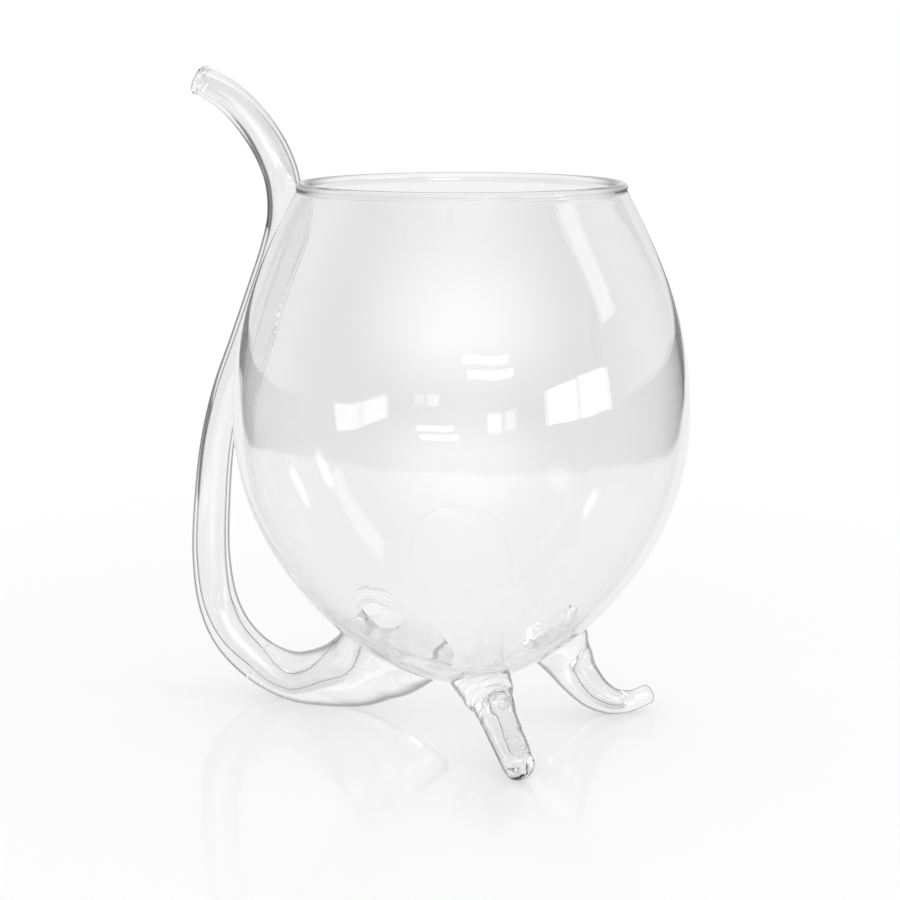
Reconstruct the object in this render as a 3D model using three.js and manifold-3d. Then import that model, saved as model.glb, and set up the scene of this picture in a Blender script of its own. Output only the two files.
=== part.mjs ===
// Drinking glass with a built-in straw, blown and joined at the lamp from borosilicate tube.
// Millimetres, +Z up, the table at z = 0. The bowl's axis is upright, the straw stands on the
// -X side and the two horn legs on the +X side. The group is moved at the end so that the middle
// of its bounding box lies at x = 0, y = 0.

import * as THREE from 'three';
import { mergeVertices } from 'three/addons/utils/BufferGeometryUtils.js';
import Module from 'manifold-3d';

// Bowl: an egg-shaped globe, widest at its equator, open at a beaded rim
const bowlRadius = 42.5;
const equatorHeight = 61.1;
const bowlClearance = 10;
const bowlWall = 1.4;
const lowerBulgeHeight = 27.8;
const bottomBulgeRadius = 16.8;
const shoulderBulgeHeight = 18.8;
const neckRadius = 30.2;
const neckHeight = 103.1;
const neckFlare = 6.5;
const neckFall = 12.5;
const rimBeadRadius = 0.9;

// Fused joints: the clearance between two pieces, and the rings of glass that join them
const seat = 0.3;
const weldHeight = 2.4;
const weldSwell = 0.35;
const tackWeldWidth = 2.6;

// Depth to which the glass is flattened where it stands on the table
const standFlat = 0.15;

// Straw, from its funnel under the bowl to its mouth. A reach is a distance from the bowl's axis.
// The bore of the funnel lies off its centre, towards its upper side, by a rise
const funnelReach = 14.2;
const funnelDrop = 1.2;
const funnelPlunge = 8;
const funnelMouthRadius = 10;
const portRadius = 5.5;
const portRise = 2.2;
const throatReach = 28.7;
const throatRadius = 6.2;
const throatBoreRadius = 1.8;
const throatBoreRise = 1.8;
const heelReach = 36.8;
const heelRadius = 5;
const heelBoreRadius = 1.4;
const bendRadius = 4.45;
const bendWall = 2.1;
const riserGap = 8.95;
const riserRadius = 3.85;
const riserHeight = 28;
const strawRadius = 3.35;
const strawWall = 1;
const shoulderLean = 3.8;
const crookGap = 4.35;
const crookRise = 0.3;
const mouthReach = 54.7;
const mouthHeight = 122.9;
const mouthRadius = 2.9;

// Legs: horns with a hollow towards their upper side, each closed by a short solid toe. The toe's
// rounded end is this share of its radius long
const hornPlunge = 5;
const hollowShare = 0.46;
const hollowRiseShare = 0.24;
const tipLengthShare = 0.6;

const frontLeg = {
  name: 'front',
  azimuth: -46.3,
  rootReach: 12.3,
  rootRadius: 5.4,
  footReach: 27.6,
  footRadius: 3.05,
  hollowReach: 25.6,
  toeReach: 31.2,
  toeRise: 0.25,
  toeRadius: 2.85,
  acrossShares: [0.14, 0.32, 0.5, 0.75],
  dropShares: [0.19, 0.35, 0.52, 0.76],
  taperShares: [0.43, 0.66, 0.83, 0.95],
};

const rearLeg = {
  name: 'rear',
  azimuth: 34.7,
  rootReach: 18.2,
  rootRadius: 6.2,
  footReach: 31,
  footRadius: 2.65,
  hollowReach: 32,
  toeReach: 38.9,
  toeRise: 1.5,
  toeRadius: 1.95,
  acrossShares: [0.23, 0.41, 0.65, 0.86],
  dropShares: [0.31, 0.58, 0.83, 0.96],
  taperShares: [0.34, 0.59, 0.78, 0.93],
};

// Finishes: thin wall glass, and the slightly greyer look of thick or solid glass
const clearGlass = { color: 0xf1f5f4, roughness: 0.03, metalness: 0 };
const thickGlass = { color: 0xdfe6e4, roughness: 0.05, metalness: 0 };

// Fineness of the faceting, as counts
const latheSegments = 40;
const lowerSteps = 11;
const upperSteps = 9;
const beadSteps = 6;
const tubeSides = 14;
const stepsPerStation = 3;

const wasm = await Module();
wasm.setup();

// Curves of the bowl's outer skin, as radius and height
const equator = new THREE.Vector2(bowlRadius, equatorHeight);
const neck = new THREE.Vector2(neckRadius, neckHeight);
const lowerCurve = new THREE.CubicBezierCurve(
  new THREE.Vector2(0, bowlClearance),
  new THREE.Vector2(bottomBulgeRadius, bowlClearance),
  new THREE.Vector2(bowlRadius, equatorHeight - lowerBulgeHeight),
  equator,
);
const upperCurve = new THREE.CubicBezierCurve(
  equator,
  new THREE.Vector2(bowlRadius, equatorHeight + shoulderBulgeHeight),
  new THREE.Vector2(neckRadius + neckFlare, neckHeight - neckFall),
  neck,
);

// A point of a bowl curve, moved out along the curve's normal
function skinPoint(curve, t, distance) {
  const tangent = curve.getTangent(t);
  return curve.getPoint(t).add(new THREE.Vector2(tangent.y, -tangent.x).multiplyScalar(distance));
}

function skinPoints(curve, distance, steps) {
  return Array.from({ length: steps + 1 }, (_, i) => skinPoint(curve, i / steps, distance));
}

// The parameter between 0 and 1 at which a rising measure of a curve reaches a value
function parameterWhere(measure, value) {
  let low = 0;
  let high = 1;
  for (let i = 0; i < 40; i += 1) {
    const middle = (low + high) / 2;
    if (measure(middle) < value) low = middle;
    else high = middle;
  }
  return (low + high) / 2;
}

// Lathe a profile of radius and height round the upright axis
function turned(profile) {
  return new THREE.LatheGeometry(profile, latheSegments).rotateX(Math.PI / 2);
}

function toSolid(geometry) {
  const bare = geometry.clone();
  bare.deleteAttribute('normal');
  bare.deleteAttribute('uv');
  const merged = mergeVertices(bare);
  const index = merged.index.array;
  const triangles = [];
  for (let i = 0; i < index.length; i += 3) {
    const [a, b, c] = index.slice(i, i + 3);
    if (a !== b && b !== c && c !== a) triangles.push(a, b, c);
  }
  return new wasm.Manifold(new wasm.Mesh({
    numProp: 3,
    vertProperties: merged.attributes.position.array,
    triVerts: new Uint32Array(triangles),
  }));
}

function toGeometry(solid) {
  const mesh = solid.getMesh();
  const geometry = new THREE.BufferGeometry();
  geometry.setAttribute('position', new THREE.BufferAttribute(mesh.vertProperties, 3));
  geometry.setIndex(new THREE.BufferAttribute(mesh.triVerts, 1));
  const faceted = geometry.toNonIndexed();
  faceted.computeVertexNormals();
  return faceted;
}

// A closed skin over rings of points: a solid bar, or a ring-shaped skin where the rings loop back
function skinOver(rings, looped) {
  const sides = rings[0].length;
  const points = rings.flat();
  const index = [];
  const last = looped ? rings.length : rings.length - 1;
  for (let i = 0; i < last; i += 1) {
    const next = (i + 1) % rings.length;
    for (let j = 0; j < sides; j += 1) {
      const k = (j + 1) % sides;
      const [a, b, c, d] = [i * sides + j, i * sides + k, next * sides + k, next * sides + j];
      index.push(a, b, c, a, c, d);
    }
  }
  if (!looped) {
    for (const [ring, flip] of [[0, true], [rings.length - 1, false]]) {
      const centre = new THREE.Vector3();
      rings[ring].forEach((point) => centre.add(point));
      const middle = points.push(centre.divideScalar(sides)) - 1;
      for (let j = 0; j < sides; j += 1) {
        const [a, b] = [ring * sides + j, ring * sides + ((j + 1) % sides)];
        index.push(...(flip ? [middle, b, a] : [middle, a, b]));
      }
    }
  }
  const geometry = new THREE.BufferGeometry().setFromPoints(points);
  return geometry.setIndex(index);
}

// A drawn tube: stations of { place, radius, bore, rise } joined by one smooth path, whose taper
// and bore run through the same stations. The rise moves the bore off the tube's centre, towards
// the upper side. Every path here lies near the XZ plane, so Y never runs along it
class DrawnTube {
  constructor(stations) {
    this.path = new THREE.CatmullRomCurve3(stations.map((station) => station.place));
    this.steps = (stations.length - 1) * stepsPerStation;
    this.tapers = {};
    for (const key of ['radius', 'bore', 'rise']) {
      const points = stations.map((station, i) => new THREE.Vector2(i, station[key]));
      this.tapers[key] = new THREE.SplineCurve(points);
    }
  }

  ring(t, radius, rise) {
    const along = this.path.getTangent(t);
    const side = new THREE.Vector3(0, 1, 0).cross(along).normalize();
    const across = along.clone().cross(side);
    const centre = this.path.getPoint(t).addScaledVector(side, side.z > 0 ? rise : -rise);
    return Array.from({ length: tubeSides }, (_, j) => {
      const angle = (2 * Math.PI * j) / tubeSides;
      return centre.clone()
        .addScaledVector(side, radius * Math.cos(angle))
        .addScaledVector(across, radius * Math.sin(angle));
    });
  }

  places(from, to) {
    const clear = 1 / (4 * this.steps);
    const between = Array.from({ length: this.steps - 1 }, (_, i) => (i + 1) / this.steps);
    return [from, ...between.filter((t) => t > from + clear && t < to - clear), to];
  }

  outside(from, to, swell) {
    return this.places(from, to).map((t) => this.ring(t, this.tapers.radius.getPoint(t).y + swell, 0));
  }

  inside(from, to) {
    const { bore, rise } = this.tapers;
    return this.places(from, to).map((t) => this.ring(t, bore.getPoint(t).y, rise.getPoint(t).y));
  }

  // The outer form as a solid bar, swollen by a distance
  bar(from = 0, to = 1, swell = 0) {
    return toSolid(skinOver(this.outside(from, to, swell), false));
  }

  // The room of the bore as a solid bar
  bore(from = 0, to = 1) {
    return toSolid(skinOver(this.inside(from, to), false));
  }

  // The wall alone, open at both ends
  tube(from = 0, to = 1, swell = 0) {
    const inner = this.inside(from, to).reverse();
    return toSolid(skinOver([...this.outside(from, to, swell), ...inner], true));
  }

  // A solid length whose far end is rounded
  roundedBar(from, to) {
    const rings = this.outside(from, to, 0);
    const tip = this.tapers.radius.getPoint(to).y;
    const end = rings.pop();
    const centre = this.path.getPoint(to);
    const along = this.path.getTangent(to);
    const capShares = [0.96, 0.8, 0.5, 0.2];
    for (const share of capShares) {
      const shift = tip * Math.sqrt(1 - share * share) * tipLengthShare;
      rings.push(end.map((point) => point.clone().sub(centre).multiplyScalar(share).add(centre)
        .addScaledVector(along, shift)));
    }
    return toSolid(skinOver(rings, false));
  }
}

// The bowl as one turned body, from the outer skin round the rim bead and down the inner skin
const beadRiseShare = 0.9;
const beadCentre = new THREE.Vector2(
  neckRadius - rimBeadRadius,
  neckHeight + rimBeadRadius * beadRiseShare,
);
const beadLowAngle = -0.45;
const beadSweep = Math.PI - 2 * beadLowAngle;
const beadArc = Array.from({ length: beadSteps + 1 }, (_, i) => {
  const angle = beadLowAngle + (beadSweep * i) / beadSteps;
  const out = new THREE.Vector2(Math.cos(angle), Math.sin(angle));
  return beadCentre.clone().addScaledVector(out, rimBeadRadius);
});
const outerProfile = [
  ...skinPoints(lowerCurve, 0, lowerSteps),
  ...skinPoints(upperCurve, 0, upperSteps).slice(1),
];
const innerProfile = [
  ...skinPoints(upperCurve, -bowlWall, upperSteps - 1).reverse(),
  ...skinPoints(lowerCurve, -bowlWall, lowerSteps - 1).reverse().slice(1),
];
outerProfile[0].x = 0;
innerProfile[innerProfile.length - 1].x = 0;
const bowlBody = toSolid(turned([...outerProfile, ...beadArc, ...innerProfile]));

// The full form of the bowl, swollen by a distance and closed across the top, to cut or to fit others
function bowlForm(swell) {
  const profile = [
    ...skinPoints(lowerCurve, swell, lowerSteps),
    ...skinPoints(upperCurve, swell, upperSteps).slice(1),
  ];
  profile[0].x = 0;
  return toSolid(turned([...profile, new THREE.Vector2(0, profile[profile.length - 1].y)]));
}

const bowlSeat = bowlForm(seat);
const weldFace = bowlForm(seat + weldHeight);
const weldSeat = bowlForm(seat + weldHeight + seat);

// All that lies under the table's surface, which flattens the glass where it stands
const underTable = toSolid(
  new THREE.BoxGeometry(4 * bowlRadius, 4 * bowlRadius, bowlRadius).translate(0, 0, -bowlRadius / 2),
);

// A point of the bowl's lower skin at a reach from the axis, moved out by a distance
function underBowl(reach, distance) {
  return skinPoint(lowerCurve, parameterWhere((t) => lowerCurve.getPoint(t).x, reach), distance);
}

// Straw: a place on its side of the bowl, from a reach, a height and a sideways lean
function strawPlace(reach, height, lean = 0) {
  return new THREE.Vector3(-Math.sqrt(reach * reach - lean * lean), lean, height);
}

const mix = THREE.MathUtils.lerp;
const riserReach = bowlRadius + riserGap + riserRadius;
const funnelMouth = underBowl(funnelReach, funnelDrop);
const funnelTop = underBowl(funnelReach, -funnelPlunge);
const throatHeight = throatRadius - standFlat;
const heelHeight = heelRadius - standFlat;
const crookReach = neckRadius + crookGap + strawRadius;
const crookHeight = neckHeight + crookRise;

const strawStations = [];

function addFunnel(reach, height, radius, bore, rise) {
  strawStations.push({ place: strawPlace(reach, height), radius, bore, rise });
}

function addStraw(reach, height, radius, wall = strawWall, lean = 0) {
  strawStations.push({ place: strawPlace(reach, height, lean), radius, bore: radius - wall, rise: 0 });
}

addFunnel(funnelTop.x, funnelTop.y, funnelMouthRadius, portRadius, portRise);
addFunnel(funnelMouth.x, funnelMouth.y, funnelMouthRadius, portRadius, portRise);

// Funnel to throat, as shares of the way across and down, of the taper and of the bore's taper
for (const [acrossShare, dropShare, taperShare, boreShare] of [
  [0.27, 0.36, 0.22, 0.33], [0.56, 0.71, 0.42, 0.7],
]) {
  addFunnel(
    mix(funnelMouth.x, throatReach, acrossShare),
    mix(funnelMouth.y, throatHeight, dropShare),
    mix(funnelMouthRadius, throatRadius, taperShare),
    mix(portRadius, throatBoreRadius, boreShare),
    mix(portRise, throatBoreRise, boreShare),
  );
}
addFunnel(throatReach, throatHeight, throatRadius, throatBoreRadius, throatBoreRise);
addFunnel(heelReach, heelHeight, heelRadius, heelBoreRadius, 0);
const spliceStation = strawStations.length;

// Bend from the heel up to the riser, where the wall thins from the bend's to the tube's own
for (const [acrossShare, riseShare, taperShare] of [
  [0.41, 0.09, 0], [0.75, 0.31, 0.4], [0.93, 0.59, 0.75],
]) {
  addStraw(
    mix(heelReach, riserReach, acrossShare),
    mix(heelHeight, riserHeight, riseShare),
    mix(bendRadius, riserRadius, taperShare),
    mix(bendWall, strawWall, taperShare),
  );
}
addStraw(riserReach, riserHeight, riserRadius);

// Along the bowl's side: rise as a share of the height from equator to neck, and the distance
// off the skin as a share of the riser's gap. At a share of 0 the tube lies on the shoulder
const besideShares = [
  [0.035, 0.43, 0.05], [0.235, 0.09, 0.24], [0.45, 0, 0.74], [0.65, 0, 1], [0.81, 0.075, 0.76],
];
const beside = besideShares.map(([riseShare, offShare, leanShare]) => {
  const height = mix(equatorHeight, neckHeight, riseShare);
  const t = parameterWhere((s) => upperCurve.getPoint(s).y, height);
  const point = skinPoint(upperCurve, t, strawRadius + seat + offShare * riserGap);
  return { reach: point.x, height: point.y, lean: leanShare * shoulderLean };
});
for (const [acrossShare, riseShare, taperShare] of [[0.12, 0.33, 0.4], [0.44, 0.69, 0.85]]) {
  addStraw(
    mix(riserReach, beside[0].reach, acrossShare),
    mix(riserHeight, beside[0].height, riseShare),
    mix(riserRadius, strawRadius, taperShare),
  );
}
for (const { reach, height, lean } of beside) addStraw(reach, height, strawRadius, strawWall, lean);

// The crook beside the rim, and the neck that leads out to the mouth
const crookLeanShare = 0.47;
addStraw(crookReach, crookHeight, strawRadius, strawWall, crookLeanShare * shoulderLean);
for (const [acrossShare, riseShare, taperShare, leanShare] of [
  [0.09, 0.27, 0, 0.32], [0.315, 0.575, 0.12, 0.2], [0.64, 0.845, 0.45, 0.08],
]) {
  addStraw(
    mix(crookReach, mouthReach, acrossShare),
    mix(crookHeight, mouthHeight, riseShare),
    mix(strawRadius, mouthRadius, taperShare),
    strawWall,
    leanShare * shoulderLean,
  );
}
addStraw(mouthReach, mouthHeight, mouthRadius);

const straw = new DrawnTube(strawStations);
const strawLength = straw.path.getLength();
const spliceAt = spliceStation / (strawStations.length - 1);
const seatShare = seat / strawLength;

const strawRoot = straw.tube(0, spliceAt - seatShare).subtract(weldSeat).subtract(underTable);
const strawRootWeld = straw.tube(0, spliceAt / 2, weldSwell).intersect(weldFace).subtract(bowlSeat);
const strawTube = straw.tube(spliceAt, 1).subtract(bowlSeat);

// The bore opens into the bowl through a port in its wall
const bowl = bowlBody.subtract(straw.bore(0, spliceAt));

// The two ends of the seam up the shoulder, as shares of the height from equator to neck
const lowerTackShares = [0.1, 0.36];
const upperTackShares = [0.84, 0.96];

// A tack weld: a web of glass between the bowl's shoulder and the tube, from one share to another
function tackWeld(lowShare, highShare) {
  const height = (share) => mix(equatorHeight, neckHeight, share);
  const steps = 4;
  const onBowl = [];
  const onTube = [];
  let lean = 0;
  for (let i = 0; i <= steps; i += 1) {
    const level = height(mix(lowShare, highShare, i / steps));
    const t = parameterWhere((s) => upperCurve.getPoint(s).y, level);
    const skin = skinPoint(upperCurve, t, -bowlWall / 2);
    const middle = straw.path.getPoint(parameterWhere(
      (s) => straw.path.getPoint(mix(spliceAt, 1, s)).z,
      level,
    ) * (1 - spliceAt) + spliceAt);
    onBowl.push(new THREE.Vector2(-skin.x, skin.y));
    onTube.push(new THREE.Vector2(middle.x, middle.z));
    lean += middle.y / (steps + 1);
  }
  const web = new THREE.ExtrudeGeometry(new THREE.Shape([...onBowl, ...onTube.reverse()]), {
    depth: tackWeldWidth,
    bevelEnabled: false,
  });
  web.rotateX(Math.PI / 2).translate(0, lean + tackWeldWidth / 2, 0);
  return toSolid(web).subtract(straw.bar(spliceAt, 1, seat)).subtract(bowlSeat);
}

// Where the toe begins, as shares of the way from the foot to the toe's end
const toeStartShares = { across: 0.4, rise: 0.15, taper: 0.5 };

// A leg in its own upright plane, reaching out along +X, then turned to its azimuth
function leg(spec) {
  const root = underBowl(spec.rootReach, 0);
  const inside = underBowl(spec.rootReach, -hornPlunge);
  const footHeight = spec.footRadius - standFlat;
  const toeHeight = spec.toeRadius + spec.toeRise;
  const station = (reach, height, radius) => ({
    place: new THREE.Vector3(reach, 0, height),
    radius,
    bore: radius * hollowShare,
    rise: radius * hollowRiseShare,
  });
  const stations = [
    station(inside.x, inside.y, spec.rootRadius),
    station(root.x, root.y, spec.rootRadius),
    ...spec.acrossShares.map((acrossShare, i) => station(
      mix(root.x, spec.footReach, acrossShare),
      mix(root.y, footHeight, spec.dropShares[i]),
      mix(spec.rootRadius, spec.footRadius, spec.taperShares[i]),
    )),
    station(spec.footReach, footHeight, spec.footRadius),
    station(
      mix(spec.footReach, spec.toeReach, toeStartShares.across),
      mix(footHeight, toeHeight, toeStartShares.rise),
      mix(spec.footRadius, spec.toeRadius, toeStartShares.taper),
    ),
    station(spec.toeReach - spec.toeRadius * tipLengthShare, toeHeight, spec.toeRadius),
  ];
  const horn = new DrawnTube(stations);
  const closeAt = parameterWhere((t) => horn.path.getPoint(t).x, spec.hollowReach);
  const toeFrom = parameterWhere((t) => horn.path.getPoint(t).x, spec.hollowReach + seat);
  const turn = [0, 0, spec.azimuth];
  const weld = horn.tube(0, closeAt, weldSwell).intersect(weldFace).subtract(bowlSeat);
  const hollow = horn.tube(0, closeAt).subtract(weldSeat).subtract(underTable);
  const toe = horn.roundedBar(toeFrom, 1).subtract(underTable);
  return [
    [`${spec.name}_leg_weld`, weld.rotate(turn), thickGlass],
    [`${spec.name}_leg_horn`, hollow.rotate(turn), clearGlass],
    [`${spec.name}_leg_toe`, toe.rotate(turn), thickGlass],
  ];
}

const pieces = [
  ['bowl', bowl, clearGlass],
  ['straw_root_weld', strawRootWeld, thickGlass],
  ['straw_root', strawRoot, clearGlass],
  ['straw_tube', strawTube, clearGlass],
  ['lower_tack_weld', tackWeld(...lowerTackShares), thickGlass],
  ['upper_tack_weld', tackWeld(...upperTackShares), thickGlass],
  ...leg(frontLeg),
  ...leg(rearLeg),
];

const glass = new THREE.Group();
for (const [name, solid, finish] of pieces) {
  const mesh = new THREE.Mesh(toGeometry(solid), new THREE.MeshStandardMaterial(finish));
  mesh.name = name;
  glass.add(mesh);
}

// Centre the standing glass over the frame's origin
const extent = new THREE.Box3().setFromObject(glass);
const middle = extent.getCenter(new THREE.Vector3());
glass.position.set(-middle.x, -middle.y, -extent.min.z);

export default glass;
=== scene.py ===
import math

import bpy
from mathutils import Matrix, Vector


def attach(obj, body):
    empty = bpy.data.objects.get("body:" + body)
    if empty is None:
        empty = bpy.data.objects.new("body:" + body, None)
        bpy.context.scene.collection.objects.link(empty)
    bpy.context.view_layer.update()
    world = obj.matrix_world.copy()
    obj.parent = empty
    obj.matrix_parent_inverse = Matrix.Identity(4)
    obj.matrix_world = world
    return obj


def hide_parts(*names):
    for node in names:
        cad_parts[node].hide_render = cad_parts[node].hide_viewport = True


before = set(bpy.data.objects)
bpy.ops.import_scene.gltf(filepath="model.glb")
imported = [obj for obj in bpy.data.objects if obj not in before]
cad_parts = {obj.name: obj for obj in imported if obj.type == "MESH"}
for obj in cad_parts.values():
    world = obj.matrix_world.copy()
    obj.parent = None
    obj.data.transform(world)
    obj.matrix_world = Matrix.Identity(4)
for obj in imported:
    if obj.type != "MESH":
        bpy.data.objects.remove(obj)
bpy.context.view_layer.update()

# Camera: a short telephoto that looks a little down on the glass, with the straw on the left
# and the two legs turned towards the right. Sizes are in millimetres, and the bowl's axis is AXIS_X
# from the middle of the frame.
MM = 0.001
AXIS_X = 8.3235

camera_data = bpy.data.cameras.new("camera")
camera_data.lens = 69.65
camera_data.sensor_width = 36
camera_data.shift_x = -0.01283
camera = bpy.data.objects.new("camera", camera_data)
camera.location = Vector((133.35, -294.56, 124.69)) * MM
look_at = Vector((AXIS_X, 0, 54.77)) * MM
camera.rotation_euler = (look_at - camera.location).to_track_quat("-Z", "Y").to_euler()
bpy.context.scene.collection.objects.link(camera)
bpy.context.scene.camera = camera
bpy.context.scene.view_settings.view_transform = "Standard"

# Table: a sheet of cast white acrylic with a polished face, laid loose on a darker desk that is painted
# reflection only. The camera sees the sheet's white there, and the desk shows only in what the glass mirrors,
# where it draws the dark band across the bowl and the dark lines along the tubes.
TOWARDS_CAMERA = Vector((0.3907, -0.9205, 0))
TO_THE_RIGHT = Vector((0.9205, 0.3907, 0))
SHEET_FRONT = -105
SHEET_HALF_WIDTH = (125, 330)
SHEET_BACK = 450
ROUND_MIDDLE = Vector((-20, -12, 0))
ROUND_RADIUS = 240
POOL_OF_LIGHT = (80, 240)


def linear(hex_colour):
    """An sRGB hex colour as linear red, green, blue and alpha."""
    values = [int(hex_colour[i:i + 2], 16) / 255 for i in (1, 3, 5)]
    return [v / 12.92 if v <= 0.04045 else ((v + 0.055) / 1.055) ** 2.4 for v in values] + [1]


def add_node(tree, kind, settings=None, links=None):
    """A new node with its attributes, socket values and incoming links set."""
    node = tree.nodes.new(kind)
    for key, value in (settings or {}).items():
        if isinstance(key, str) and hasattr(node, key):
            setattr(node, key, value)
        else:
            node.inputs[key].default_value = value
    for key, socket in (links or {}).items():
        tree.links.new(socket, node.inputs[key])
    return node


def new_material(name):
    """An empty material and its node tree."""
    material = bpy.data.materials.new(name)
    material.use_nodes = True
    material.node_tree.nodes.clear()
    return material, material.node_tree


white_sheet, tree = new_material("glossy_white_acrylic_sheet")
path = add_node(tree, "ShaderNodeLightPath")
place = add_node(tree, "ShaderNodeTexCoord")
from_glass = add_node(tree, "ShaderNodeVectorMath", {
    "operation": "DISTANCE", 1: (AXIS_X * MM, 0, 0)}, {0: place.outputs["Object"]})
# Polished acrylic: white, with a soft, pale mirror image of whatever stands on it
sheet = add_node(tree, "ShaderNodeBsdfPrincipled", {
    "Base Color": linear("#fafafa"), "Roughness": 0.1, "IOR": 1.49})
# Dark matt desk as a painted reflection: an even, nearly black grey glow
painted_desk_reflection = add_node(tree, "ShaderNodeEmission", {"Color": linear("#303030"), "Strength": 1})
# Past the pool of light round the glass the sheet fades to plain white
far_sheet = add_node(tree, "ShaderNodeEmission", {"Color": (1, 1, 1, 1), "Strength": 1})
fade = add_node(tree, "ShaderNodeMapRange", {
    "interpolation_type": "SMOOTHSTEP", "From Min": POOL_OF_LIGHT[0] * MM, "From Max": POOL_OF_LIGHT[1] * MM,
    "To Min": 0, "To Max": 1}, {"Value": from_glass.outputs["Value"]})
lit_sheet = add_node(tree, "ShaderNodeMixShader", None, {
    0: fade.outputs[0], 1: sheet.outputs[0], 2: far_sheet.outputs[0]})
# The desk lies outside the sheet, which is round about the glass and goes on behind it as a wedge
away = add_node(tree, "ShaderNodeVectorMath", {"operation": "DOT_PRODUCT", 1: -TOWARDS_CAMERA},
                {0: place.outputs["Object"]})
across = add_node(tree, "ShaderNodeVectorMath", {"operation": "DOT_PRODUCT", 1: TO_THE_RIGHT},
                  {0: place.outputs["Object"]})
half_width = add_node(tree, "ShaderNodeMapRange", {
    "From Min": SHEET_FRONT * MM, "From Max": SHEET_BACK * MM,
    "To Min": SHEET_HALF_WIDTH[0] * MM, "To Max": SHEET_HALF_WIDTH[1] * MM},
    {"Value": away.outputs["Value"]})
side = add_node(tree, "ShaderNodeMath", {"operation": "ABSOLUTE"}, {0: across.outputs["Value"]})
past_side = add_node(tree, "ShaderNodeMath", {"operation": "SUBTRACT"},
                     {0: side.outputs[0], 1: half_width.outputs[0]})
past_front = add_node(tree, "ShaderNodeMath", {"operation": "SUBTRACT", 0: SHEET_FRONT * MM},
                      {1: away.outputs["Value"]})
past_wedge = add_node(tree, "ShaderNodeMath", {"operation": "MAXIMUM"},
                      {0: past_side.outputs[0], 1: past_front.outputs[0]})
from_middle = add_node(tree, "ShaderNodeVectorMath", {"operation": "DISTANCE", 1: ROUND_MIDDLE * MM},
                       {0: place.outputs["Object"]})
past_round = add_node(tree, "ShaderNodeMath", {"operation": "SUBTRACT", 1: ROUND_RADIUS * MM},
                      {0: from_middle.outputs["Value"]})
past_edge = add_node(tree, "ShaderNodeMath", {"operation": "MINIMUM"},
                     {0: past_wedge.outputs[0], 1: past_round.outputs[0]})
beyond_sheet_edge = add_node(tree, "ShaderNodeMapRange", {
    "From Min": 0, "From Max": 30 * MM, "To Min": 0, "To Max": 1}, {"Value": past_edge.outputs[0]})
# The painted desk reflection shows in light that was mirrored once, and fades in light that came through
# several walls
mirrored = add_node(tree, "ShaderNodeMath", {"operation": "COMPARE", 1: 1, 2: 0.5},
                    {0: path.outputs["Glossy Depth"]})
not_deep = add_node(tree, "ShaderNodeMapRange", {"From Min": 1.5, "From Max": 4, "To Min": 1, "To Max": 0},
                    {"Value": path.outputs["Transmission Depth"]})
mirrored_once = add_node(tree, "ShaderNodeMath", {"operation": "MULTIPLY"},
                         {0: mirrored.outputs[0], 1: not_deep.outputs[0]})
show_painted_desk_reflection = add_node(tree, "ShaderNodeMath", {"operation": "MULTIPLY"},
                     {0: beyond_sheet_edge.outputs[0], 1: mirrored_once.outputs[0]})
floor_surface = add_node(tree, "ShaderNodeMixShader", None, {
    0: show_painted_desk_reflection.outputs[0], 1: lit_sheet.outputs[0], 2: painted_desk_reflection.outputs[0]})
add_node(tree, "ShaderNodeOutputMaterial", None, {"Surface": floor_surface.outputs[0]})

bpy.ops.mesh.primitive_plane_add(size=8, location=(0, 0, -0.02 * MM))
floor = bpy.context.object
floor.name = "floor"
bpy.ops.object.transform_apply(location=True)
floor.data.materials.append(white_sheet)

# Studio: a room with a pale back wall, a bright ceiling and a dark side where the camera stands.
# Over the camera hangs a wide soft light. Round it are a window with one bar, two tube lamps, a
# small far window, a tall window on the right and narrow panes at both sides.
NEAR_WALL = 0.06
FAR_WALL = 0.92
WHOLE_ROOM = 0.8
CEILING = 1.4
LIGHT_ON_TABLE = 0.99
SOFT_LIGHT = 2.7
LAMP_DISTANCE = 1.4


def grey(level):
    """A grey light level as red, green, blue and alpha."""
    return (level, level, level, 1)


def studio_direction(azimuth, elevation):
    """The direction from the glass to a lamp. Azimuth 0 is over the camera and grows to the right."""
    a, e = math.radians(azimuth), math.radians(elevation)
    out = (TOWARDS_CAMERA * math.cos(a) + TO_THE_RIGHT * math.sin(a)) * math.cos(e)
    out.z = math.sin(e)
    return out


world = bpy.data.worlds.new("pale_studio")
bpy.context.scene.world = world
world.use_nodes = True
tree = world.node_tree
tree.nodes.clear()
path = add_node(tree, "ShaderNodeLightPath")
place = add_node(tree, "ShaderNodeTexCoord")
parts = add_node(tree, "ShaderNodeSeparateXYZ", None, {0: place.outputs["Generated"]})
to_camera_side = add_node(tree, "ShaderNodeVectorMath", {"operation": "DOT_PRODUCT", 1: TOWARDS_CAMERA},
                          {0: place.outputs["Generated"]})
behind = add_node(tree, "ShaderNodeMapRange", {
    "interpolation_type": "SMOOTHSTEP", "From Min": 0.35, "From Max": -0.25, "To Min": 0, "To Max": 1},
    {"Value": to_camera_side.outputs["Value"]})
walls = add_node(tree, "ShaderNodeMix", {"data_type": "RGBA", 6: grey(NEAR_WALL), 7: grey(FAR_WALL)},
                 {0: behind.outputs[0]})
# What comes through thick worked glass is the whole room at once
deep = add_node(tree, "ShaderNodeMapRange", {"From Min": 1.5, "From Max": 4, "To Min": 0, "To Max": 1},
                {"Value": path.outputs["Transmission Depth"]})
evened = add_node(tree, "ShaderNodeMix", {"data_type": "RGBA", 7: grey(WHOLE_ROOM)},
                  {0: deep.outputs[0], 6: walls.outputs[2]})
height = add_node(tree, "ShaderNodeMapRange", {
    "interpolation_type": "SMOOTHSTEP", "From Min": 0.70, "From Max": 0.95, "To Min": 0, "To Max": 1},
    {"Value": parts.outputs["Z"]})
room = add_node(tree, "ShaderNodeMix", {"data_type": "RGBA", 7: grey(CEILING)},
                {0: height.outputs[0], 6: evened.outputs[2]})
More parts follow.
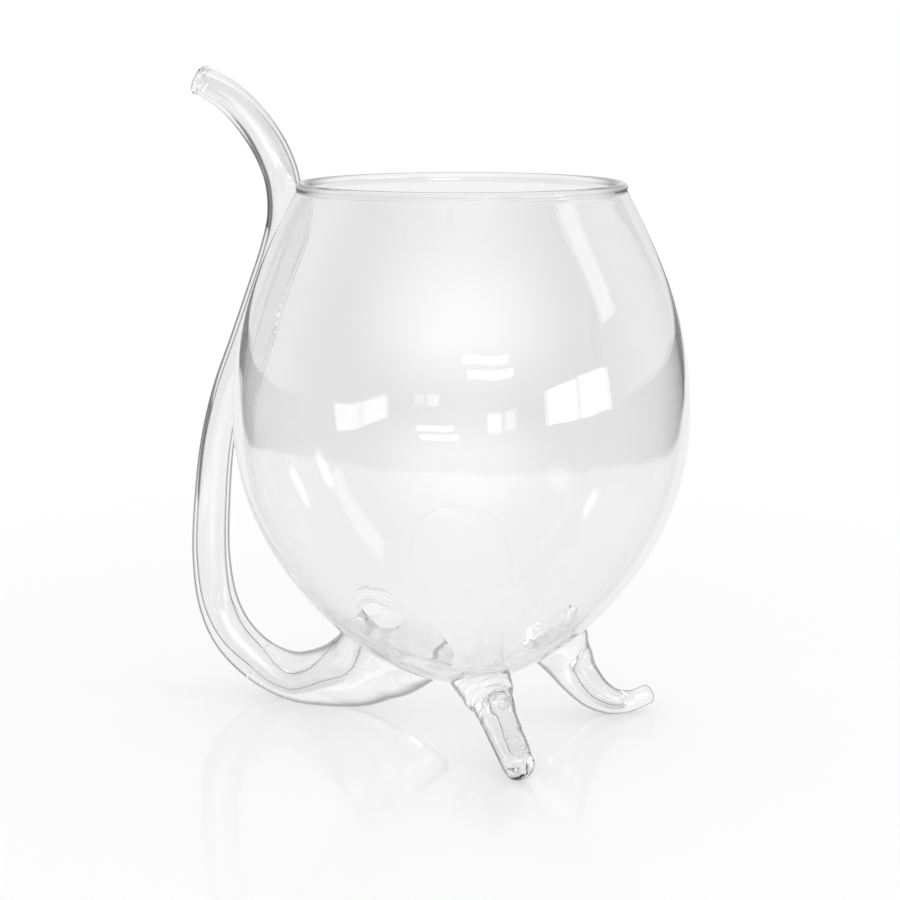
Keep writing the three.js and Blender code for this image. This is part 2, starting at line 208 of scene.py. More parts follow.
# The soft light over the camera, wide and low, brightest at its middle
off_middle = add_node(tree, "ShaderNodeVectorMath", {"operation": "SUBTRACT", 1: studio_direction(0, 29)},
                      {0: place.outputs["Generated"]})
flattened = add_node(tree, "ShaderNodeVectorMath", {"operation": "MULTIPLY", 1: (1, 1, 2)},
                     {0: off_middle.outputs[0]})
reach = add_node(tree, "ShaderNodeVectorMath", {"operation": "LENGTH"}, {0: flattened.outputs[0]})
glow = add_node(tree, "ShaderNodeMapRange", {
    "interpolation_type": "SMOOTHSTEP", "From Min": 1.15, "From Max": 0.1, "To Min": 0, "To Max": SOFT_LIGHT},
    {"Value": reach.outputs["Value"]})
light = add_node(tree, "ShaderNodeCombineXYZ", None, {axis: glow.outputs[0] for axis in (0, 1, 2)})
room_and_light = add_node(tree, "ShaderNodeVectorMath", {"operation": "ADD"},
                          {0: room.outputs[2], 1: light.outputs[0]})
# Narrow panes at both sides, which only the far wall of the bowl mirrors back through the near one.
# Each has its azimuth, elevation, width and height in degrees, and its radiance.
twice_through = add_node(tree, "ShaderNodeMath", {"operation": "GREATER_THAN", 1: 3.5},
                         {0: path.outputs["Transmission Depth"]})
for azimuth, elevation, wide, tall, radiance in (
        (92, 16, 7, 19, 4), (116, 12, 5, 13, 4), (-95, 26, 5, 15, 4), (-66, 27, 19, 11, 1.5)):
    off_pane = add_node(tree, "ShaderNodeVectorMath", {
        "operation": "SUBTRACT", 1: studio_direction(azimuth, elevation)}, {0: place.outputs["Generated"]})
    rounded = add_node(tree, "ShaderNodeVectorMath", {"operation": "MULTIPLY", 1: (1, 1, wide / tall)},
                       {0: off_pane.outputs[0]})
    far = add_node(tree, "ShaderNodeVectorMath", {"operation": "LENGTH"}, {0: rounded.outputs[0]})
    edge = math.radians(wide / 2)
    pane = add_node(tree, "ShaderNodeMapRange", {
        "interpolation_type": "SMOOTHSTEP", "From Min": edge, "From Max": edge * 0.6,
        "To Min": 0, "To Max": radiance}, {"Value": far.outputs["Value"]})
    shown = add_node(tree, "ShaderNodeMath", {"operation": "MULTIPLY"},
                     {0: pane.outputs[0], 1: twice_through.outputs[0]})
    pane_light = add_node(tree, "ShaderNodeCombineXYZ", None, {axis: shown.outputs[0] for axis in (0, 1, 2)})
    room_and_light = add_node(tree, "ShaderNodeVectorMath", {"operation": "ADD"},
                              {0: room_and_light.outputs[0], 1: pane_light.outputs[0]})
# The glass shows the room, the table is lit evenly, and behind it all the camera sees plain white
through_glass = add_node(tree, "ShaderNodeMath", {"operation": "MAXIMUM"},
                         {0: path.outputs["Is Glossy Ray"], 1: path.outputs["Is Transmission Ray"]})
lit = add_node(tree, "ShaderNodeMix", {"data_type": "RGBA", 6: grey(LIGHT_ON_TABLE)},
               {0: through_glass.outputs[0], 7: room_and_light.outputs[0]})
seen = add_node(tree, "ShaderNodeMix", {"data_type": "RGBA", 7: grey(1)},
                {0: path.outputs["Is Camera Ray"], 6: lit.outputs[2]})
sky = add_node(tree, "ShaderNodeBackground", {"Strength": 1}, {"Color": seen.outputs[2]})
add_node(tree, "ShaderNodeOutputWorld", None, {"Surface": sky.outputs[0]})


def studio_lamp(name, azimuth, elevation, wide, tall, radiance):
    """A rectangular lamp that faces the glass. Its place, width and height are in degrees."""
    out = studio_direction(azimuth, elevation)
    lamp = bpy.data.lights.new(name, "AREA")
    lamp.shape = "RECTANGLE"
    lamp.size = 2 * LAMP_DISTANCE * math.tan(math.radians(wide / 2))
    lamp.size_y = 2 * LAMP_DISTANCE * math.tan(math.radians(tall / 2))
    lamp.energy = radiance * math.pi * lamp.size * lamp.size_y
    stand = bpy.data.objects.new(name, lamp)
    stand.location = Vector((AXIS_X, 0, 60)) * MM + out * LAMP_DISTANCE
    stand.rotation_euler = out.to_track_quat("Z", "Y").to_euler()
    stand.visible_camera = False
    bpy.context.scene.collection.objects.link(stand)


studio_lamp("window_near_pane", 50, 2, 16, 12, 4.4)
studio_lamp("window_far_pane", 67.5, 2, 17, 13, 4.1)
studio_lamp("tube_lamp_upper", 13, 19, 21, 2.4, 7)
studio_lamp("tube_lamp_lower", 15, 14.5, 21, 2.4, 7)
studio_lamp("small_far_window", 16.5, 0.2, 7, 6, 2.4)
studio_lamp("small_far_window_pane", 24, 0.2, 5, 6, 1.8)
studio_lamp("tall_window_right", 86, 34, 10, 30, 1.5)

# Bowl: a globe blown from clear borosilicate glass and left open at a fire-polished, beaded rim.
# Low on the straw's side its wall has the port through which the drink runs into the straw.
WALL = 1.4
BEAD_RING = 29.3
BEAD_HEIGHT = 103.91
BEAD_RADIUS = 0.9
BEAD_OVERLAP = 0.45
BEAD_FOOT = 102.9
WORKED_BELOW = 31
WORKED_FULLY = 17
WORKED_OUTSIDE = 0.12
WAVE_SPACING = 9.09
LOW_WALL = (64, 44)
MIRRORING_WEIGHT = 2.4
LEAK_FROM = 9.5
LOWER_SKIN = ((0, 10), (16.8, 10), (42.5, 33.3), (42.5, 61.1))
UPPER_SKIN = ((42.5, 61.1), (42.5, 79.9), (36.7, 90.6), (30.2, 103.1))


def skin_points(curve, distance, steps):
    """Points of radius and height on one curve of the bowl's skin, moved out by a distance."""
    a, b, c, d = (Vector(p) for p in curve)
    points = []
    for i in range(steps + 1):
        t = i / steps
        s = 1 - t
        point = a * s ** 3 + b * 3 * s * s * t + c * 3 * s * t * t + d * t ** 3
        along = (b - a) * 3 * s * s + (c - b) * 6 * s * t + (d - c) * 3 * t * t
        if along.length < 1e-9:
            along = c - b
        along.normalize()
        points.append(point + Vector((along.y, -along.x)) * distance)
    return points


def lathe(name, profile, steps):
    """A closed body turned round the bowl's axis from a chain of points drawn out one by one."""
    bpy.ops.object.select_all(action="DESELECT")
    start = Vector((AXIS_X + profile[0][0], 0, profile[0][1])) * MM
    bpy.ops.mesh.primitive_plane_add(size=MM, location=start)
    body = bpy.context.object
    body.name = name
    bpy.ops.object.transform_apply(location=True)
    bpy.ops.object.mode_set(mode="EDIT")
    bpy.ops.mesh.select_all(action="SELECT")
    bpy.ops.mesh.merge(type="CENTER")
    for a, b in zip(profile, profile[1:]):
        step = Vector((b[0] - a[0], 0, b[1] - a[1])) * MM
        bpy.ops.mesh.extrude_vertices_move(TRANSFORM_OT_translate={"value": step})
    bpy.ops.mesh.select_all(action="SELECT")
    bpy.ops.mesh.spin(steps=steps, angle=2 * math.pi, center=(AXIS_X * MM, 0, 0), axis=(0, 0, 1))
    bpy.ops.mesh.select_all(action="SELECT")
    bpy.ops.mesh.remove_doubles(threshold=1e-6)
    bpy.ops.mesh.normals_make_consistent(inside=False)
    bpy.ops.object.mode_set(mode="OBJECT")
    return body


bead = []
for i in range(15):
    a = -BEAD_OVERLAP + i * (math.pi + 2 * BEAD_OVERLAP) / 14
    bead.append(Vector((BEAD_RING + BEAD_RADIUS * math.cos(a), BEAD_HEIGHT + BEAD_RADIUS * math.sin(a))))
outside = skin_points(LOWER_SKIN, 0, 72) + skin_points(UPPER_SKIN, 0, 44)[1:]
inside = skin_points(UPPER_SKIN, -WALL, 44)[:-1][::-1] + skin_points(LOWER_SKIN, -WALL, 72)[:-1][::-1]
outside[0].x = 0
inside[-1].x = 0
bowl = lathe("blown_bowl", outside + bead + inside, 224)


def ripple_glass(body, how_much, grain, depth):
    """Waves the skin as worked glass is waved, where how_much(place in mm) says so."""
    group = body.vertex_groups.new(name="worked")
    for vertex in body.data.vertices:
        share = how_much(vertex.co / MM)
        if share > 0:
            group.add([vertex.index], share, "REPLACE")
    waves = bpy.data.textures.new(body.name + "_waves", "CLOUDS")
    waves.noise_scale = grain * MM
    waves.noise_depth = 1
    bpy.ops.object.select_all(action="DESELECT")
    bpy.context.view_layer.objects.active = body
    body.select_set(True)
    modifier = body.modifiers.new("worked", "DISPLACE")
    modifier.texture = waves
    modifier.texture_coords = "LOCAL"
    modifier.vertex_group = "worked"
    modifier.mid_level = 0.5
    modifier.strength = depth * MM
    bpy.ops.object.modifier_apply(modifier=modifier.name)
    body.vertex_groups.clear()


def ease(value, start, end):
    """A smooth share from 0 at start to 1 at end."""
    t = min(max((value - start) / (end - start), 0), 1)
    return t * t * (3 - 2 * t)


def skin_radius(height):
    """The radius of the bowl's outer skin at a height."""
    for below, above in zip(outside, outside[1:]):
        if below.y <= height <= above.y:
            return below.x + (above.x - below.x) * (height - below.y) / max(above.y - below.y, 1e-9)
    return 0


def near_joints(place):
    """More towards the bottom of the bowl, where the flame worked it, and hardly on the outside."""
    off_axis = Vector((place.x - AXIS_X, place.y)).length
    on_inside = off_axis < skin_radius(place.z) - WALL / 2
    return ease(place.z, WORKED_BELOW, WORKED_FULLY) * (1 if on_inside else WORKED_OUTSIDE)


ripple_glass(bowl, near_joints, grain=7, depth=0.65)


def glass_material(name, tint, painted_edge_shade, edge_shade_start, edge_shade_end, shade, wave=0.03, edge_shade_fades_from=1000,
                   low_tint=None):
    """Clear glass. Where the wall is seen edge-on its colour darkens to the edge colour, a painted shade that
    stands in for the dark room that glass edges mirror. Above a given height this painted shade fades, low
    down the glass may take a lighter tint, and the light of the lamps goes through it, weakened by its shade."""
    material, tree = new_material(name)
    path = add_node(tree, "ShaderNodeLightPath")
    place = add_node(tree, "ShaderNodeTexCoord")
    surface = add_node(tree, "ShaderNodeNewGeometry")
    # Slow waves of the blown or drawn skin, longer up the glass than across it
    drawn_out = add_node(tree, "ShaderNodeVectorMath", {"operation": "MULTIPLY", 1: (1, 1, 0.3)},
                         {0: place.outputs["Object"]})
    waves = add_node(tree, "ShaderNodeTexNoise", {
        "Scale": 1 / (WAVE_SPACING * MM), "Detail": 1, "Roughness": 0.4}, {"Vector": drawn_out.outputs[0]})
    middle = add_node(tree, "ShaderNodeVectorMath", {"operation": "SUBTRACT", 1: (0.5, 0.5, 0.5)},
                      {0: waves.outputs["Color"]})
    gentle = add_node(tree, "ShaderNodeVectorMath", {"operation": "SCALE", "Scale": wave},
                      {0: middle.outputs[0]})
    waved = add_node(tree, "ShaderNodeVectorMath", {"operation": "ADD"},
                     {0: surface.outputs["Normal"], 1: gentle.outputs[0]})
    normal = add_node(tree, "ShaderNodeVectorMath", {"operation": "NORMALIZE"}, {0: waved.outputs[0]})
    # Painted shade along the outline: the glass darkens where it is seen edge-on, most on the first walls a
    # ray goes through, and less above a given height
    facing = add_node(tree, "ShaderNodeLayerWeight", {"Blend": 0.5})
    edge = add_node(tree, "ShaderNodeMapRange", {
        "interpolation_type": "SMOOTHSTEP", "From Min": edge_shade_start, "From Max": edge_shade_end,
        "To Min": 0, "To Max": 1}, {"Value": facing.outputs["Facing"]})
    height = add_node(tree, "ShaderNodeSeparateXYZ", None, {0: place.outputs["Object"]})
    edge_shade_height_fade = add_node(tree, "ShaderNodeMapRange", {
        "interpolation_type": "SMOOTHSTEP", "From Min": edge_shade_fades_from * MM, "From Max": (edge_shade_fades_from + 7) * MM,
        "To Min": 1, "To Max": 0.3}, {"Value": height.outputs["Z"]})
    first_walls = add_node(tree, "ShaderNodeMapRange", {
        "From Min": 2, "From Max": 4, "To Min": 1, "To Max": 0.15},
        {"Value": path.outputs["Transmission Depth"]})
    share = add_node(tree, "ShaderNodeMath", {"operation": "MULTIPLY"},
                     {0: edge.outputs[0], 1: edge_shade_height_fade.outputs[0]})
    depth = add_node(tree, "ShaderNodeMath", {"operation": "MULTIPLY"},
                     {0: share.outputs[0], 1: first_walls.outputs[0]})
    low = add_node(tree, "ShaderNodeMapRange", {
        "interpolation_type": "SMOOTHSTEP", "From Min": LOW_WALL[0] * MM, "From Max": LOW_WALL[1] * MM,
        "To Min": 0, "To Max": 1}, {"Value": height.outputs["Z"]})
    wall = add_node(tree, "ShaderNodeMix", {
        "data_type": "RGBA", 6: linear(tint), 7: linear(low_tint or tint)}, {0: low.outputs[0]})
    colour = add_node(tree, "ShaderNodeMix", {"data_type": "RGBA", 7: linear(painted_edge_shade)},
                      {0: depth.outputs[0], 6: wall.outputs[2]})
    glass = add_node(tree, "ShaderNodeBsdfPrincipled", {
        "Roughness": 0, "IOR": 1.47, "Transmission Weight": 1},
        {"Base Color": colour.outputs[2], "Normal": normal.outputs[0]})
    clear = add_node(tree, "ShaderNodeBsdfTransparent", {"Color": linear(shade)})
    for_light = add_node(tree, "ShaderNodeMath", {"operation": "MAXIMUM"},
                         {0: path.outputs["Is Shadow Ray"], 1: path.outputs["Is Diffuse Ray"]})
    # Light that is mirrored to and fro inside a wall leaks out in the end
    turns = add_node(tree, "ShaderNodeMath", {"operation": "MULTIPLY_ADD", 1: MIRRORING_WEIGHT},
                     {0: path.outputs["Glossy Depth"], 2: path.outputs["Ray Depth"]})
    leaking = add_node(tree, "ShaderNodeMath", {"operation": "GREATER_THAN", 1: LEAK_FROM},
                       {0: turns.outputs[0]})
    straight_on = add_node(tree, "ShaderNodeMath", {"operation": "MAXIMUM"},
                           {0: for_light.outputs[0], 1: leaking.outputs[0]})
    glass_or_light = add_node(tree, "ShaderNodeMixShader", None, {
        0: straight_on.outputs[0], 1: glass.outputs[0], 2: clear.outputs[0]})
    add_node(tree, "ShaderNodeOutputMaterial", None, {"Surface": glass_or_light.outputs[0]})
    return material


# Blown wall: all but unseen face-on and softly grey towards the outline in painted shade, a little lighter
# low down, with slow waves that bend the windows and lamps it mirrors
bowl_glass = glass_material("blown_borosilicate_glass", "#f4f4f4", "#cccccc", 0.55, 1.0, "#fbfbfb",
                            wave=0.045, low_tint="#f9f9f9")
bowl.data.materials.append(bowl_glass)

# Inside a fused joint there is no surface, only glass, so light goes straight on
fused_joint, tree = new_material("fused_glass_joint")
open_glass = add_node(tree, "ShaderNodeBsdfTransparent", {"Color": (1, 1, 1, 1)})
add_node(tree, "ShaderNodeOutputMaterial", None, {"Surface": open_glass.outputs[0]})
bowl.data.materials.append(fused_joint)

# The bead of the rim is solid glass, and its edges get darker lines of painted shade than the thin wall does
rim_glass = glass_material("fire_polished_rim_glass", "#f4f4f4", "#6a6a6a", 0.38, 0.75, "#f6f6f6")
bowl.data.materials.append(rim_glass)
for face in bowl.data.polygons:
    if face.center.z > BEAD_FOOT * MM:
        face.material_index = 2

# Straw: a borosilicate tube that starts as a thick-walled funnel under the bowl, bends up beside it
# and curls out over the rim to a melted lip. It was drawn and bent in the flame in two pieces, and
# its funnel is fused to the bowl through a ring of thick glass, the weld.
SIDES = 64
STEPS = 5
SPLICE = 7
SEAT_GAP = 0.05
WELD_THICKNESS = 2.4
PLUG_DEPTH = 0.8
SHARPEST_SMOOTH = 32


def smooth_run(rows, per):
    """Rows of numbers passed through by a smooth curve, with a number of steps from row to row."""
    run = []
    rows = [Vector(row) for row in rows]
    for i in range(len(rows) - 1):
        p0, p1, p2, p3 = rows[max(i - 1, 0)], rows[i], rows[i + 1], rows[min(i + 2, len(rows) - 1)]
        k1 = max((p1 - p0).length, 1e-6) ** 0.5
        k2 = max((p2 - p1).length, 1e-6) ** 0.5
        k3 = max((p3 - p2).length, 1e-6) ** 0.5
        first = i == 0
        m1 = p2 - p1 if first else (p2 - p1) - (p2 - p0) * (k2 / (k1 + k2)) + (p1 - p0) * (k2 / k1)
        last = i + 2 == len(rows)
        m2 = p2 - p1 if last else (p2 - p1) - (p3 - p1) * (k2 / (k2 + k3)) + (p3 - p2) * (k2 / k3)
        for j in range(per):
            t = j / per
            run.append(p1 * (2 * t ** 3 - 3 * t * t + 1) + m1 * (t ** 3 - 2 * t * t + t)
                       + p2 * (3 * t * t - 2 * t ** 3) + m2 * (t ** 3 - t * t))
    run.append(rows[-1])
    return run


def draw_bar(name, run, materials, caps=(0, 0), sides=SIDES):
    """A closed glass bar: a circle is added at each row (x, y, z, radius and, for an oval, its
    stretch), and the circles are bridged. Each end takes the finish that caps says."""
    bpy.ops.object.select_all(action="DESELECT")
    body = None
    places = [Vector(row[:3]) * MM for row in run]
    for i, row in enumerate(run):
        along = (places[min(i + 1, len(run) - 1)] - places[max(i - 1, 0)]).normalized()
        side = Vector((0, 1, 0)).cross(along).normalized()
        frame_of_ring = Matrix((side, along.cross(side), along)).transposed()
        stretch = row[4] if len(row) > 4 else 1
        bpy.ops.mesh.primitive_circle_add(
            vertices=sides, radius=row[3] * MM, location=places[i], rotation=frame_of_ring.to_euler(),
            scale=(1, stretch, 1))
        if body is None:
            body = bpy.context.object
            body.name = name
            bpy.ops.object.transform_apply(location=True, rotation=True)
            bpy.ops.object.mode_set(mode="EDIT")
    bpy.ops.mesh.select_all(action="SELECT")
    bpy.ops.mesh.bridge_edge_loops(type="SINGLE")
    bpy.ops.object.mode_set(mode="OBJECT")
    count = len(body.data.vertices)
    for material in materials:
        body.data.materials.append(material)
    for first in (0, count - sides):
        for vertex in body.data.vertices:
            vertex.select = first <= vertex.index < first + sides
        bpy.ops.object.mode_set(mode="EDIT")
        bpy.ops.mesh.select_mode(type="VERT")
        bpy.ops.mesh.edge_face_add()
        bpy.ops.mesh.select_all(action="DESELECT")
        bpy.ops.object.mode_set(mode="OBJECT")
    bpy.ops.object.mode_set(mode="EDIT")
    bpy.ops.mesh.select_all(action="SELECT")
    bpy.ops.mesh.normals_make_consistent(inside=False)
    bpy.ops.object.mode_set(mode="OBJECT")
    for face in body.data.polygons:
        if len(face.vertices) == sides:
            at_start = (face.center - places[0]).length < (face.center - places[-1]).length
            face.material_index = caps[0] if at_start else caps[1]
    return body


def copy_of(body, name):
    """A copy of a body with its own mesh."""
    twin = body.copy()
    twin.data = body.data.copy()
    twin.name = name
    bpy.context.scene.collection.objects.link(twin)
    return twin


def cut(body, tool, operation="DIFFERENCE", keep_tool=False):
    """Cuts, joins or meets a body with a tool, which is then taken away or kept."""
    bpy.ops.object.select_all(action="DESELECT")
    bpy.context.view_layer.objects.active = body
    body.select_set(True)
    modifier = body.modifiers.new("cut", "BOOLEAN")
    modifier.operation = operation
    modifier.solver = "MANIFOLD"
    modifier.object = tool
    bpy.ops.object.modifier_apply(modifier=modifier.name)
    if not keep_tool:
        bpy.data.objects.remove(tool, do_unlink=True)


def on_straw_side(reach, height, *rest, lean=0):
    """A row on the straw's side of the bowl, from a reach off the axis, a height and a lean."""
    return (AXIS_X - math.sqrt(reach * reach - lean * lean), lean, height, *rest)


def at_table(body):
    """Flattens the glass where it stands on the table."""
    bpy.ops.object.select_all(action="DESELECT")
    bpy.ops.mesh.primitive_cube_add(size=0.2, location=(0, 0, -0.1))
    table_top = bpy.context.object
    bpy.ops.object.transform_apply(location=True)
    table_top.data.materials.append(body.data.materials[0])
    cut(body, table_top)


def all_joint(body):
    """Marks every face of a tool, so that what it cuts is left as a fused joint."""
    for face in body.data.polygons:
        face.material_index = 1


def bowl_form(name, distance):
    """A tool with the full form of the bowl, swollen by a distance and closed across the top."""
    profile = skin_points(LOWER_SKIN, distance, 48) + skin_points(UPPER_SKIN, distance, 24)[1:]
    profile[0].x = 0
    profile.append(Vector((0, profile[-1].y)))
    form = lathe(name, profile, 128)
    for material in thick_finishes:
        form.data.materials.append(material)
    all_joint(form)
    return form


def finish_glass(piece, node):
    """Gives a piece smooth shading and the root body as its parent, and hides the CAD node that it stands
    for.
    """
    bpy.ops.object.select_all(action="DESELECT")
    bpy.context.view_layer.objects.active = piece
    piece.select_set(True)
    bpy.ops.object.shade_smooth_by_angle(angle=math.radians(SHARPEST_SMOOTH))
    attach(piece, "root")
    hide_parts(node)


# Drawn tube: clear down its middle, with a dark line of painted shade along each side where its wall is seen
# edge-on. The painted lines grow pale in the thin crook over the rim.
tube_glass = glass_material("drawn_borosilicate_tube", "#f8f8f8", "#3c3c3c", 0.46, 0.68, "#f5f5f5",
                            edge_shade_fades_from=112)
# Worked root: thicker than the tube, and its sides get broader and softer greys of painted shade
root_glass = glass_material("worked_root_glass", "#f8f8f8", "#585858", 0.46, 0.74, "#f3f3f3")
# Thick worked glass of the legs and welds: clear, with grey edges of painted shade, and the densest to the
# lamps
thick_glass = glass_material("thick_worked_glass", "#f8f8f8", "#5c5c5c", 0.46, 0.70, "#eeeeee")
tube_finishes = [tube_glass, fused_joint]
thick_finishes = [thick_glass, fused_joint]
root_finishes = [root_glass, fused_joint]
bowl_finishes = [bowl_glass, fused_joint]
in_bowl = bowl_form("bowl_seat", SEAT_GAP)
in_weld = bowl_form("weld_seat", WELD_THICKNESS)
mid_wall = bowl_form("mid_wall", -PLUG_DEPTH)


def plug_of(bar, name):
    """The part of a bar that lies in the outer half of the bowl's wall, fused with it."""
    plug = copy_of(bar, name)
    cut(plug, in_bowl, "INTERSECT", keep_tool=True)
    cut(plug, mid_wall, keep_tool=True)
    return plug


straw_rows = [
    on_straw_side(8.5, 24.5, 10.0), on_straw_side(11.6, 17.8, 10.9), on_straw_side(15.0, 13.7, 9.9),
    on_straw_side(18.5, 11.1, 8.8), on_straw_side(22.5, 8.5, 7.8), on_straw_side(28.7, 6.05, 6.2),
    on_straw_side(36.8, 4.85, 5),
    on_straw_side(44.4, 7.0, 4.45), on_straw_side(50.7, 12.0, 4.3), on_straw_side(54, 18.5, 4.1),
    on_straw_side(55.3, 28, 3.85), on_straw_side(54.7, 39.5, 3.65), on_straw_side(53, 52, 3.42),
    on_straw_side(50.1, 62.5, 3.35, lean=0.19), on_straw_side(46.4, 72.2, 3.35, lean=0.91),
    on_straw_side(43.7, 81.4, 3.35, lean=2.81), on_straw_side(40.8, 90.2, 3.35, lean=3.8),
    on_straw_side(38.4, 97, 3.35, lean=2.89), on_straw_side(37.9, 103.4, 3.4, lean=1.79),
    on_straw_side(39.4, 108.6, 3.4, lean=1.22), on_straw_side(43.2, 114.6, 3.3, lean=0.76),
    on_straw_side(48.7, 119.9, 3.1, lean=0.3), on_straw_side(54.7, 122.9, 2.8),
]
outer_run = smooth_run(straw_rows, STEPS)
root_bar = draw_bar("straw_root_glass", outer_run[:SPLICE * STEPS + 1], root_finishes, caps=(1, 1))


def near_root_weld(place):
    """More towards the wide end of the root, and not where it stands on the table."""
    return ease(place.x, AXIS_X - 31, AXIS_X - 22) * ease(place.z, 5, 9)


ripple_glass(root_bar, near_root_weld, grain=6, depth=0.5)
tube_run = outer_run[SPLICE * STEPS:]
# The lip of the mouth is melted to a small bead
end, before = tube_run[-1], tube_run[-2]
out = (Vector(end[:3]) - Vector(before[:3])).normalized()
lip = [(-1.5, 0.02), (-1.25, 0.1), (-1.05, 0.03), (-0.9, -0.08), (-0.65, -0.17),
       (-0.4, -0.15), (-0.2, -0.02), (-0.07, 0.18), (0, 0.42)]
tube_run = tube_run[:-2] + [(*(Vector(end[:3]) + out * ahead), end[3] - less) for ahead, less in lip]
tube_bar = draw_bar("straw_tube_glass", tube_run, tube_finishes, caps=(1, 0))

# The bore opens into the bowl as a countersunk oval and lies towards the root's upper side
bore_rows = [
    on_straw_side(16.25, 23.4, 8.0, 1.05, lean=2.6), on_straw_side(17.15, 21.6, 8.0, 1.05, lean=2.6),
    on_straw_side(17.87, 20.2, 7.1, 1.17, lean=2.6), on_straw_side(18.14, 19.66, 6.3, 1.3, lean=2.6),
    on_straw_side(18.32, 19.3, 5.75, 1.42, lean=2.6), on_straw_side(18.5, 18.95, 5.2, 1.5, lean=2.6),
    on_straw_side(18.72, 18.5, 4.6, 1.6, lean=2.6), on_straw_side(19.04, 17.9, 4.2, 1.65, lean=2.5),
    on_straw_side(20.0, 15.9, 3.9, 1.6, lean=2.2), on_straw_side(22.4, 11.8, 3.5, 1.45, lean=1.2),
    on_straw_side(25.4, 8.9, 2.9, 1.3, lean=0.5), on_straw_side(28.7, 6.9, 2.2, 1.15),
    on_straw_side(33, 4.9, 1.7, 1.05), on_straw_side(36.8, 4.1, 1.6, 1), on_straw_side(41, 5, 1.8, 1),
    on_straw_side(44.6, 7.1, 2.2, 1), on_straw_side(50.8, 12.1, 2.7, 1), on_straw_side(54.1, 18.5, 2.95, 1),
    on_straw_side(55.3, 28, 3.05, 1), on_straw_side(54.7, 39.5, 2.9, 1), on_straw_side(53, 52, 2.7, 1),
    on_straw_side(50.1, 62.5, 2.6, 1, lean=0.19), on_straw_side(46.4, 72.2, 2.6, 1, lean=0.91),
    on_straw_side(43.7, 81.4, 2.6, 1, lean=2.81), on_straw_side(40.8, 90.2, 2.6, 1, lean=3.8),
    on_straw_side(38.4, 97, 2.6, 1, lean=2.89), on_straw_side(37.9, 103.4, 2.65, 1, lean=1.79),
    on_straw_side(39.4, 108.6, 2.6, 1, lean=1.22), on_straw_side(43.1, 114.5, 2.35, 1, lean=0.76),
    on_straw_side(48.6, 119.6, 2.05, 1, lean=0.3), on_straw_side(54.6, 122.6, 1.8, 1),
]
bore_run = smooth_run(bore_rows, STEPS)
end = bore_run[-1]
inner_lip = [(-1.0, 0), (-0.5, -0.12), (-0.25, -0.05), (-0.08, 0.12), (0.02, 0.42), (0.6, 0.42)]
bore_run = bore_run[:-2] + [(*(Vector(end[:3]) + out * ahead), end[3] + more, 1) for ahead, more in inner_lip]
bore = draw_bar("bore", bore_run, tube_finishes)

root_plug = plug_of(root_bar, "root_plug")
cut(bowl, root_plug, "UNION")

root_weld = copy_of(root_bar, "straw_root_weld_glass")
cut(root_weld, in_weld, "INTERSECT", keep_tool=True)
cut(root_weld, in_bowl, keep_tool=True)
cut(root_weld, bore, keep_tool=True)
cut(root_bar, in_weld, keep_tool=True)
cut(root_bar, bore, keep_tool=True)
at_table(root_bar)
finish_glass(root_weld, "straw_root_weld")
finish_glass(root_bar, "straw_root")

# Seam: a line of borosilicate rod that was melted in between the straw and the bowl's shoulder and
# holds the two together. It was laid in two runs of the flame, one from below and one from above.
SEAM_FOOT = 71
SEAM_TOP = 96
RISER = 60

seat_run = [(*row[:3], row[3] + SEAT_GAP) for row in tube_run[:-len(lip)]]
tube_seat = draw_bar("tube_seat", seat_run, tube_finishes)
all_joint(tube_seat)
seam_rows = []
for point in skin_points(UPPER_SKIN, 0, 48):
    if SEAM_FOOT < point.y < SEAM_TOP:
        straw_here = min(outer_run[RISER:], key=lambda row: abs(row[2] - point.y))
        straw_reach = Vector((straw_here[0] - AXIS_X, straw_here[1])).length
        gap = straw_reach - straw_here[3] - point.x
        reach = point.x + gap / 2
        share = (point.y - SEAM_FOOT) / (SEAM_TOP - SEAM_FOOT)
        radius = 0.2 + (max(gap, 0.4) / 2 + 0.3) * math.sin(math.pi * share)
        seam_rows.append(on_straw_side(reach, point.y, radius, lean=straw_here[1] * reach / straw_reach))
half = len(seam_rows) // 2
seam_runs = (("lower_tack_weld", seam_rows[:half + 1], (0, 1)), ("upper_tack_weld", seam_rows[half:], (1, 0)))
for name, rows, caps in seam_runs:
    seam = draw_bar(name + "_glass", rows, bowl_finishes, caps=caps, sides=48)
    in_tube = copy_of(seam, "in_tube")
    cut(in_tube, tube_seat, "INTERSECT", keep_tool=True)
    cut(tube_bar, in_tube, "UNION")
    cut(bowl, plug_of(seam, "seam_plug"), "UNION")
    cut(seam, tube_seat, keep_tool=True)
    cut(seam, in_bowl, keep_tool=True)
    finish_glass(seam, name)
bpy.data.objects.remove(tube_seat, do_unlink=True)
cut(tube_bar, bore, keep_tool=True)
finish_glass(tube_bar, "straw_tube")


# Legs: two hollow horns of borosilicate tube, pulled to a taper in the flame and closed by a solid,
# rounded toe. Each is fused by its wide end to a ring of thick glass on the bowl, and the rear one
# is bent, so that its toe turns up from the table.
def on_leg(azimuth, reach, height, radius, aside=0):
    """A row in the upright plane of a leg, or beside that plane."""
    a = math.radians(azimuth)
    x = AXIS_X + reach * math.cos(a) - aside * math.sin(a)
    y = reach * math.sin(a) + aside * math.cos(a)
    return (x, y, height, radius)


